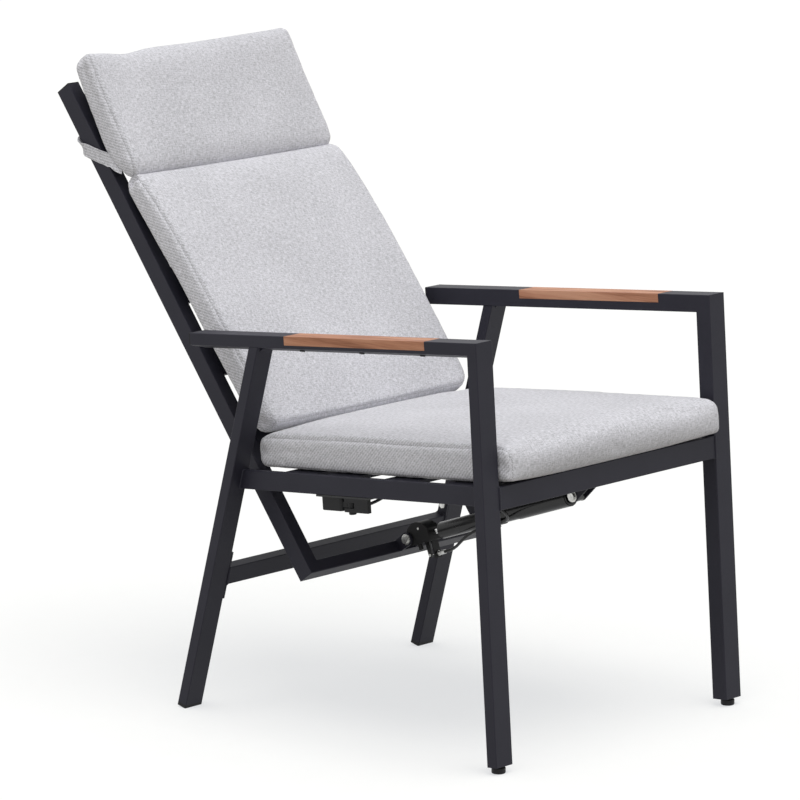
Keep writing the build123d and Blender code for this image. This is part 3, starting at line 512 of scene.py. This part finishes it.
def tree_of(points):
    """Tree that finds the nearest of the points."""
    tree = KDTree(len(points))
    for number, point in enumerate(points):
        tree.insert(point, number)
    tree.balance()
    return tree


VOXEL = 0.005
SEAM_HOLDS = 0.016


def inflate(obj, seams, pressure, cap, frames=20):
    """Blows the mesh up as cloth. It is held at its seams, and no point moves further than the cap."""
    remesh = obj.modifiers.new("Remesh", "REMESH")
    remesh.mode = "VOXEL"
    remesh.voxel_size = VOXEL
    applied(obj)
    tree = tree_of(seams)
    held = obj.vertex_groups.new(name="held")
    for vertex in obj.data.vertices:
        away = tree.find(vertex.co)[2]
        held.add([vertex.index], max(0.0, min(1.0, 1.15 - away / SEAM_HOLDS)), "REPLACE")
    before = coordinates_of(obj.data)
    modifier = obj.modifiers.new("Cloth", "CLOTH")
    settings = modifier.settings
    settings.quality = 5
    settings.mass = 0.3
    settings.tension_stiffness = settings.compression_stiffness = 12
    settings.shear_stiffness = 6
    settings.bending_stiffness = 2.5
    settings.use_pressure = True
    settings.uniform_pressure_force = pressure
    settings.effector_weights.gravity = 0
    settings.vertex_group_mass = "held"
    modifier.point_cache.frame_start, modifier.point_cache.frame_end = 1, frames
    for number in range(1, frames + 1):
        scene.frame_set(number)
    applied(obj)
    scene.frame_set(1)
    moved = coordinates_of(obj.data) - before
    lengths = np.linalg.norm(moved, axis=1, keepdims=True)
    capped = moved * np.minimum(1, cap / np.maximum(lengths, 1e-9))
    obj.data.vertices.foreach_set("co", (before + capped).ravel())
    finer = obj.modifiers.new("Subdivision", "SUBSURF")
    finer.levels = finer.render_levels = 1
    applied(obj)


FAR_FROM_SEAM = 0.03


def pinch(obj, seams, depth=0.0020, reach=0.0030):
    """Draws the cloth in along its seams, with a soft swell beside them and small puckers along them."""
    tree = tree_of(seams)
    mesh = obj.data
    points = coordinates_of(mesh)
    for vertex in mesh.vertices:
        away = tree.find(vertex.co)[2]
        if away > FAR_FROM_SEAM:
            continue
        pucker = noise.noise(vertex.co * 75) + 0.5 * noise.noise(vertex.co * 160)
        inward = depth * 2.718 ** (-((away / reach) ** 2))
        swell = (0.0004 + 0.0007 * pucker) * 2.718 ** (-(((away - 0.010) / 0.007) ** 2))
        points[vertex.index] += np.array(vertex.normal) * (swell - inward)
    mesh.vertices.foreach_set("co", points.ravel())
    smooth(mesh)
    mesh.update()


def stitches(obj, paths, name, pitch=0.0042, share=0.72, radius=0.00045):
    """Thread stitches that lie on the cloth along paths."""
    tree = BVHTree.FromObject(obj, bpy.context.evaluated_depsgraph_get())
    bm = bmesh.new()
    for path in paths:
        lengths = [0.0]
        for first, second in zip(path, path[1:]):
            lengths.append(lengths[-1] + (second - first).length)
        ahead = 0
        for number in range(int(lengths[-1] / pitch)):
            ends = []
            for distance in (number * pitch, (number + share) * pitch):
                while ahead < len(lengths) - 2 and lengths[ahead + 1] < distance:
                    ahead += 1
                run = max(lengths[ahead + 1] - lengths[ahead], 1e-9)
                ends.append(path[ahead].lerp(path[ahead + 1], (distance - lengths[ahead]) / run))
            surface = [tree.find_nearest(end) for end in ends]
            start, end = (found[0] + found[1] * radius * 0.3 for found in surface)
            along = (end - start).normalized()
            up = surface[0][1]
            side = along.cross(up).normalized()
            rings = []
            for at, size in ((0, 0.35), (0.18, 1), (0.82, 1), (1, 0.35)):
                middle = start.lerp(end, at)
                rings.append(
                    [
                        bm.verts.new(middle + (side * cos(turn) + up * sin(turn)) * radius * size)
                        for turn in (0, pi / 3, 2 * pi / 3, pi, 4 * pi / 3, 5 * pi / 3)
                    ]
                )
            for first, second in zip(rings, rings[1:]):
                for corner in range(6):
                    after = (corner + 1) % 6
                    bm.faces.new((first[corner], second[corner], second[after], first[after]))
            bm.faces.new(rings[0])
            bm.faces.new(rings[-1][::-1])
    mesh = mesh_of(bm, name)
    # The thread's darker grey along the seams is partly painted shade of the seam's groove.
    mesh.materials.append(THREAD_AND_SEAM_SHADE)
    return new_piece(name, mesh)


PRESSURE = 4.0
SEAM_POINTS = 900


def cushion(pad, matrix, body, solid, cap, edges=(), dents=()):
    """Cushion with its seams and stitches, in place of its solid. Edges are points of its outlines where a
    seam runs across, and dents are places, with a radius and a depth, where the filling has sunk."""
    name = solid + "_cover"
    obj = shell(pad, name)
    loops = [pad.loop(side) for side in (-1, 1)]
    paths = [closed + closed[:1] for closed in loops] + [pad.edge(number) for number in edges]
    seams = [point for path in paths for point in evenly(path, SEAM_POINTS)]
    inflate(obj, seams, PRESSURE, cap)
    points = coordinates_of(obj.data)
    for place_of_dent, radius, depth in dents:
        for vertex in obj.data.vertices:
            away = (vertex.co - Vector(place_of_dent)).length / radius
            points[vertex.index] -= np.array(vertex.normal) * depth * 2.718 ** (-(away**2))
    obj.data.vertices.foreach_set("co", points.ravel())
    obj.data.update()
    pinch(obj, seams)
    obj.data.materials.clear()
    obj.data.materials.append(FINISHES["fabric"])
    sewn = stitches(obj, paths, solid + "_stitches")
    place(obj, matrix, body)
    place(sewn, matrix, body)
    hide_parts(solid)
    return obj, sewn


SEAT_PAD = Pad(
    0.2535,
    0,
    (
        ((-8, 57), (4, 58), (64, 55.5), (194, 53.5), (270, 54), (470, 51)),
        ((487, 51), (503, 47), (512, 36), (513, 24), (505, 8)),
        ((492, 2), (468, 3), (231, 2.5), (67, 3), (40, 4), (10, 6)),
        ((-15, 7), (-20, 12), (-20.5, 36), (-15, 53)),
    ),
    (
        ((-8, 60), (4, 64), (64, 68), (194, 70), (270, 70), (400, 68), (466, 64)),
        ((491, 57), (506, 47), (513, 32), (512, 18), (505, 6)),
        ((492, 1), (300, 0.6), (60, 0.6), (40, 2.5), (10, 5)),
        ((-13, 6), (-20, 12), (-21.5, 34), (-17, 52)),
    ),
    0.62,
    (0.006, 0.020),
)
BACK_PAD = Pad(
    0.2375,
    0.0090,
    (
        (
            *((52, 82), (75, 83), (160, 82), (265, 80.5), (352, 78)),
            *((391, 75.5), (422, 72.8), (467, 67.5), (500, 62)),
        ),
        ((516, 58), (525, 53), (531, 46), (530, 37)),
        ((523, 29), (505, 25.5), (443, 29), (393, 32), (350, 36), (298, 38), (208, 39), (126, 42)),
        ((54, 41), (50, 60)),
    ),
    (
        ((47, 84), (75, 88), (160, 91), (265, 91), (391, 86), (467, 80), (501, 74)),
        ((517, 65), (522, 53), (523, 38), (519, 24)),
        ((506, 16.5), (443, 16), (300, 16), (126, 18), (80, 24)),
        ((51, 36), (44, 60)),
    ),
    0.4,
    (0.030, 0.024),
)
HEAD_PAD = Pad(
    0.2345,
    0.0075,
    (
        ((538, 59), (550, 62.5), (590, 65.5), (641, 69.5), (710, 78)),
        ((728, 81), (738, 77), (743, 65), (742, 51)),
        ((733, 40.5), (690, 33), (640, 26)),
        ((589, 19.5), (560, 26.5), (532, 35), (524, 43), (527, 53)),
    ),
    (
        ((524, 64), (545, 71), (600, 76), (660, 81), (705, 86)),
        ((723, 86), (733, 79), (737, 66), (736, 50)),
        ((729, 36), (700, 21), (640, 16.5), (570, 16)),
        ((534, 17), (522, 24), (517, 38), (518, 52)),
    ),
    0.4,
    (0.010, 0.024),
)
FOOT_SEAM = 0, 2 * FACE_STEPS + END_STEPS

cushion(SEAT_PAD, SEAT, "frame", "seat_cushion", 0.006)

# Where the back cushion's cover is gathered under the head cushion, and where the head cushion has sunk
GATHER = [
    ((-0.2270, 0.5185, 0.053), 0.0042, 0.0065),
    ((-0.2265, 0.5210, 0.048), 0.0042, 0.0065),
    ((-0.2265, 0.5220, 0.043), 0.0042, 0.0065),
    ((-0.2275, 0.5175, 0.038), 0.0042, 0.0065),
    ((-0.2285, 0.5130, 0.034), 0.0040, 0.0050),
]
back_cover, back_stitches = cushion(
    BACK_PAD, BACK, "backrest", "back_cushion", 0.007, edges=FOOT_SEAM, dents=GATHER
)
HOLLOW = [((-0.140, 0.742, 0.070), 0.040, 0.006)]
cushion(HEAD_PAD, BACK, "backrest", "head_cushion", 0.006, dents=HOLLOW)

# The back cushion's cover and its stitches each get a mesh of their own
for piece in (back_cover, back_stitches):
    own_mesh(piece)


# Strap of the head cushion: a flat band out of the cushion's lower corner, round the stile and across
# behind

STRAP_WIDTH = 0.025
STRAP_THICKNESS = 0.0012
# Middle of the band, its direction across its width, and its width as a share, for half its length
strap_half = (
    (Vector((0.2225, 0.5523, 0.0385)), Vector((0, 0.99, -0.15)), 1.86),
    (Vector((0.2275, 0.5612, 0.0281)), Vector((0, 0.99, -0.12)), 1.45),
    (Vector((0.2300, 0.5690, 0.0228)), Vector((0, 0.90, 0.36)), 1.08),
    (Vector((0.2312, 0.5768, 0.0164)), Vector((0, 0.731, 0.683)), 0.86),
    (Vector((0.2317, 0.5854, 0.0082)), Vector((0, 0.700, 0.715)), 0.85),
    (Vector((0.2318, 0.5950, -0.0002)), Vector((0, 0.650, 0.760)), 0.84),
    (Vector((0.2318, 0.6035, -0.0075)), Vector((0, 0.640, 0.770)), 0.83),
    (Vector((0.2313, 0.6120, -0.0145)), Vector((0.08, 0.75, 0.65)), 0.84),
    (Vector((0.2285, 0.6205, -0.0195)), Vector((0.35, 0.92, 0.25)), 0.88),
    (Vector((0.2195, 0.6270, -0.0190)), Vector((0.60, 1.05, 0.0)), 0.90),
    (Vector((0.2050, 0.6290, -0.0172)), Vector((0.40, 1.02, 0)), 0.95),
    (Vector((0.1850, 0.6290, -0.0164)), Vector((0.05, 1, 0)), 1.0),
    (Vector((0.1200, 0.6290, -0.0164)), Vector((0, 1, 0)), 1.0),
)
flip = Vector((-1, 1, 1))
other_half = [(middle * flip, wide * flip, share) for middle, wide, share in reversed(strap_half)]
strap_rows = [*strap_half, *other_half]
middles = curve_through([row[0] for row in strap_rows], 6)
widths = curve_through([row[1] * row[2] for row in strap_rows], 6)


def band(middles, widths, edges, thickness, name):
    """Flat band along a line: edges are places across its width, from -1 to 1."""
    bm = bmesh.new()
    rows = []
    for number, (middle, wide) in enumerate(zip(middles, widths)):
        ahead = middles[min(number + 1, len(middles) - 1)] - middles[max(number - 1, 0)]
        wide = wide - ahead * (wide.dot(ahead) / ahead.length_squared)
        out = ahead.cross(wide).normalized() * thickness / 2
        across = wide * STRAP_WIDTH / 2
        rows.append(
            [bm.verts.new(middle + across * edge + out) for edge in edges]
            + [bm.verts.new(middle + across * edge - out) for edge in reversed(edges)]
        )
    for first, second in zip(rows, rows[1:]):
        for corner in range(len(first)):
            after = (corner + 1) % len(first)
            bm.faces.new((first[corner], second[corner], second[after], first[after]))
    bm.faces.new(rows[0])
    bm.faces.new(rows[-1][::-1])
    bmesh.ops.recalc_face_normals(bm, faces=bm.faces)
    return new_piece(name, mesh_of(bm, name))


STRAP_EDGES = [-1, -0.97, -0.8, -0.75, -0.4, 0, 0.4, 0.75, 0.8, 0.97, 1]
strap = band(middles, widths, STRAP_EDGES, STRAP_THICKNESS, "strap")
strap.data.materials.append(FINISHES["fabric"])
place(strap, BACK, "backrest")
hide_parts("cushion_strap")
HEM = 0.82
hems = [
    [middle + wide * STRAP_WIDTH / 2 * edge for middle, wide in zip(middles, widths)]
    for edge in (-HEM, HEM)
]
strap_stitches = stitches(strap, hems, "strap_stitches", pitch=0.003, radius=0.0003)
place(strap_stitches, BACK, "backrest")

# Release cable in two runs that meet in the guide on the gas spring, in the frame of the part's source

SPRING_ALONG = (Vector(FRONT_EYE) - Vector(REAR_EYE)).normalized()
SPRING_UP = Vector((0, SPRING_ALONG.z, -SPRING_ALONG.y))


def on_spring(across, up, along):
    """Point given across the chair, above the spring's axis and along it from the rear eye, in
    millimetres."""
    return Vector(REAR_EYE) + (Vector((across, 0, 0)) + SPRING_UP * up + SPRING_ALONG * along) / 1000


def cable(points, name, solid):
    """Cable along a smooth spline, in place of its solid."""
    curve = bpy.data.curves.new(name, "CURVE")
    curve.dimensions = "3D"
    curve.resolution_u = 8
    spline = curve.splines.new("NURBS")
    spline.points.add(len(points) - 1)
    for point, where in zip(spline.points, points):
        point.co = (*where, 1)
    spline.order_u = 3
    spline.use_endpoint_u = True
    obj = new_piece(name + "_line", curve)
    bpy.context.view_layer.update()
    line = bpy.data.meshes.new_from_object(obj.evaluated_get(bpy.context.evaluated_depsgraph_get()))
    curve.bevel_depth = 0.0025
    curve.bevel_resolution = 5
    curve.use_fill_caps = True
    bpy.context.view_layer.update()
    tube = bpy.data.meshes.new_from_object(obj.evaluated_get(bpy.context.evaluated_depsgraph_get()))
    bpy.data.objects.remove(obj)
    smooth(tube)
    tube.materials.clear()
    tube.materials.append(FINISHES["cable_sheath"])
    made = new_piece(name, tube)
    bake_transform(made)
    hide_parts(solid)
    return made


rear_points = [
    on_spring(*point)
    for point in (
        (0, -34, 60),
        (0, -34, 70),
        (-4.5, -31.5, 88),
        (-11, -26, 106),
        (-16, -20, 124),
        (-18, -15.5, 142),
        (-17, -12.8, 160),
        (-14.5, -12, 177),
        (-14.5, -12, 194),
    )
]
front_points = [
    on_spring(-14.5, -12, 194),
    on_spring(-14.5, -12, 219),
    *(
        Vector((across / 1000, FRONT_Y + back / 1000, up / 1000))
        for across, back, up in (
            (-32, 207, 336),
            (-60, 208, 352),
            (-84, 217, 366),
            (-116, 229, 382),
            (-150, 245, 392),
            (-184, 263, 395),
            (-214, 282, 393),
        )
    ),
    SEAT @ Vector((-0.243, 0.277, -0.04375)),
    SEAT @ Vector((-0.262, 0.277, -0.04375)),
]
cable(
    rear_points,
    "release_cable_rear",
    solid="cable_rear",
)
cable(
    front_points,
    "release_cable_front",
    solid="cable_front",
)

# Weld beads of the frame: a fillet with ripples round the end of each bar


RIPPLE = 0.0011
BEAD_SIDES = 10


def bead(corners, closed, name, matrix, body, radius=0.0021):
    """Bead of small ripples along straight runs in a member's own sizes."""
    runs = list(zip(corners, [*corners[1:], corners[0]] if closed else corners[1:]))
    bm = bmesh.new()
    for start, end in runs:
        start, end = Vector(start), Vector(end)
        along = (end - start).normalized()
        side = along.orthogonal().normalized()
        up = along.cross(side)
        count = max(2, int((end - start).length / RIPPLE))
        rings = []
        for number in range(count + 1):
            middle = start.lerp(end, number / count)
            size = radius * (0.86 + 0.10 * (number % 2) + 0.10 * noise.noise(middle * 300))
            if number in (0, count):
                size *= 0.75
            turns = [2 * pi * turn / BEAD_SIDES for turn in range(BEAD_SIDES)]
            rings.append(
                [bm.verts.new(middle + (side * cos(turn) + up * sin(turn)) * size) for turn in turns]
            )
        for first, second in zip(rings, rings[1:]):
            for corner in range(BEAD_SIDES):
                after = (corner + 1) % BEAD_SIDES
                bm.faces.new((first[corner], first[after], second[after], second[corner]))
        bm.faces.new(rings[0][::-1])
        bm.faces.new(rings[-1])
    mesh = mesh_of(bm, name)
    mesh.materials.append(FINISHES["frame_paint"])
    return place(new_piece(name, mesh), matrix, body)


INNER_X = 0.262
RAIL_WIDTH = 0.014
RAIL_DEPTH = 0.030
LEG_REAR_FACE = -0.0285
FRONT_RAIL = 0.4284 - 0.036, 0.4284
PLATE_THICKNESS = 0.003
PLATE = 0.212, 0.242
STILE_INNER_X = 0.205
TOP_RAIL = 0.6754, 0.6954
SLAT_WIDTH = 0.066
BACK_SLATS = [0.041 + 0.1328 * number for number in range(5)]
SEAT_SLATS = 0.0435, 0.1665, 0.2895, 0.3765
for side, hand in ((1, "left"), (-1, "right")):
    inner = side * INNER_X
    # Where the seat rail meets the rear leg's front face and the front leg's rear face
    for member_name, matrix, depth in (("rear", REAR_LEG, 0.0), ("front", FRONT_LEG, LEG_REAR_FACE)):
        corners = []
        for out in (0.0, -RAIL_DEPTH):
            start = matrix.inverted() @ SEAT @ Vector((inner, 0.0, out))
            end = matrix.inverted() @ SEAT @ Vector((inner, 0.5, out))
            share = (depth - start.z) / (end.z - start.z)
            corners.append(start.lerp(end, share))
        outer = Vector((side * RAIL_WIDTH, 0, 0))
        if member_name == "front":
            outer.z = 0.0035
        loop = [corners[0], corners[0] + outer, corners[1] + outer, corners[1]]
        bead(loop, True, f"weld_rail_{member_name}_leg_{hand}", matrix, "frame")
    low, high = FRONT_RAIL
    loop = [(inner, low, -0.025), (inner, low, 0), (inner, high, 0), (inner, high, -0.025)]
    bead(loop, True, f"weld_front_rail_{hand}", FRONT_LEG, "frame")
    plate = side * (INNER_X - PLATE_THICKNESS)
    low, high = PLATE
    loop = [(plate, low, -0.0185), (plate, low, 0), (plate, high, 0), (plate, high, -0.0185)]
    bead(loop, True, f"weld_stretcher_{hand}", REAR_LEG, "frame")
    stile = side * STILE_INNER_X
    low, high = TOP_RAIL
    loop = [(stile, low, -0.015), (stile, low, 0.015), (stile, high, 0.015), (stile, high, -0.015)]
    bead(loop, True, f"weld_top_rail_{hand}", BACK, "backrest", radius=0.0018)
    for number, start in enumerate(BACK_SLATS):
        bead(
            [(stile, start, 0.009), (stile, start + SLAT_WIDTH, 0.009)],
            False,
            f"weld_back_slat_{number}_{hand}",
            BACK,
            "backrest",
            radius=0.0016,
        )
    for number, start in enumerate(SEAT_SLATS):
        bead(
            [(inner, start, -0.006), (inner, start + SLAT_WIDTH, -0.006)],
            False,
            f"weld_seat_slat_{number}_{hand}",
            SEAT,
            "frame",
            radius=0.0016,
        )

# Floor, light and camera

FLOOR_GLOW = 0.63
FLOOR_REACH = 40
AMBIENT = 0.52


def seen(tree):
    """One for rays that come from the camera, a mirror or glass, and nothing for those that light the
    object."""
    rays = tree.nodes.new("ShaderNodeLightPath").outputs
    total = tree.nodes.new("ShaderNodeMath")
    total.operation = "ADD"
    total.use_clamp = True
    tree.links.new(rays["Is Camera Ray"], total.inputs[0])
    tree.links.new(rays["Is Glossy Ray"], total.inputs[1])
    both = tree.nodes.new("ShaderNodeMath")
    both.operation = "ADD"
    both.use_clamp = True
    tree.links.new(total.outputs[0], both.inputs[0])
    tree.links.new(rays["Is Transmission Ray"], both.inputs[1])
    return both.outputs[0]


floor_mesh = bpy.data.meshes.new("floor")
floor_corners = [(-FLOOR_REACH, -FLOOR_REACH, 0), (FLOOR_REACH, -FLOOR_REACH, 0)]
floor_corners += [(FLOOR_REACH, FLOOR_REACH, 0), (-FLOOR_REACH, FLOOR_REACH, 0)]
floor_mesh.from_pydata(floor_corners, [], [(0, 1, 2, 3)])
floor = new_piece("floor", floor_mesh)

# White floor: its own glow makes up what its paint lacks, so that it is white in the open and shaded near
# the chair
pale = material("pale_floor", (0.41, 0.40, 0.37), 0.9, Specular_IOR_Level=0.0)
dust = grain(pale, place_on_piece(pale), 30, detail=3)
colour_from(pale, ramp(pale, dust, (0.3, (0.405, 0.395, 0.365)), (0.7, (0.415, 0.405, 0.375))))
shader = pale.node_tree.nodes["Principled BSDF"]
shader.inputs["Emission Color"].default_value = (0.95, 0.97, 1, 1)
glow = node(pale, "Math", seen(pale.node_tree), FLOOR_GLOW, operation="MULTIPLY")
pale.node_tree.links.new(glow.outputs[0], shader.inputs["Emission Strength"])
floor_mesh.materials.append(pale)
floor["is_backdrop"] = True

world = bpy.data.worlds.new("studio")
scene.world = world
world.use_nodes = True
light = world.node_tree.nodes["Background"]
light.inputs["Color"].default_value = (1, 1, 1, 1)
strength = world.node_tree.nodes.new("ShaderNodeMapRange")
strength.inputs["To Min"].default_value, strength.inputs["To Max"].default_value = AMBIENT, 1
world.node_tree.links.new(seen(world.node_tree), strength.inputs["Value"])
world.node_tree.links.new(strength.outputs[0], light.inputs["Strength"])


def sun(name, azimuth, elevation, strength, softness):
    """Soft sunlight from an azimuth, 0 from the front and 90 from the sitter's left, and an elevation."""
    lamp = bpy.data.lights.new(name, "SUN")
    lamp.energy = strength
    lamp.angle = radians(softness)
    obj = new_piece(name, lamp)
    turn, rise = radians(azimuth), radians(elevation)
    towards = Vector((sin(turn) * cos(rise), -cos(turn) * cos(rise), sin(rise)))
    obj.rotation_mode = "QUATERNION"
    obj.rotation_quaternion = towards.to_track_quat("Z", "Y")


sun("key", -15, 78, 1.65, 50)
sun("fill", -80, 25, 0.30, 80)

# Camera of the photograph: its focal length in pixels of an 800 pixel wide picture, and its aim
AZIMUTH = radians(-48.18)
ELEVATION = radians(10.79)
ROLL = radians(-0.38)
PICTURE = 800
FOCAL_PIXELS = 5307.67
DISTANCE = 8.42897
AIM = Vector((0, -0.113988, 0.55))
TO_LEFT = 0.05761
TO_BELOW = 0.05661
backward = Vector((sin(AZIMUTH) * cos(ELEVATION), -cos(AZIMUTH) * cos(ELEVATION), sin(ELEVATION)))
right = Vector((cos(AZIMUTH), sin(AZIMUTH), 0))
up = backward.cross(right)
centre = AIM + backward * DISTANCE - right * TO_LEFT - up * TO_BELOW
right, up = right * cos(ROLL) + up * sin(ROLL), up * cos(ROLL) - right * sin(ROLL)
camera = bpy.data.cameras.new("camera")
camera.sensor_width = 36
camera.lens = FOCAL_PIXELS * camera.sensor_width / PICTURE
camera.clip_end = 200
camera_object = new_piece("camera", camera)
turned = Matrix((right, up, backward)).transposed().to_4x4()
camera_object.matrix_world = Matrix.Translation(centre) @ turned
scene.camera = camera_object

bpy.context.view_layer.update()
corners = {"cad_box": cad_bounds, "visual_box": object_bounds()}
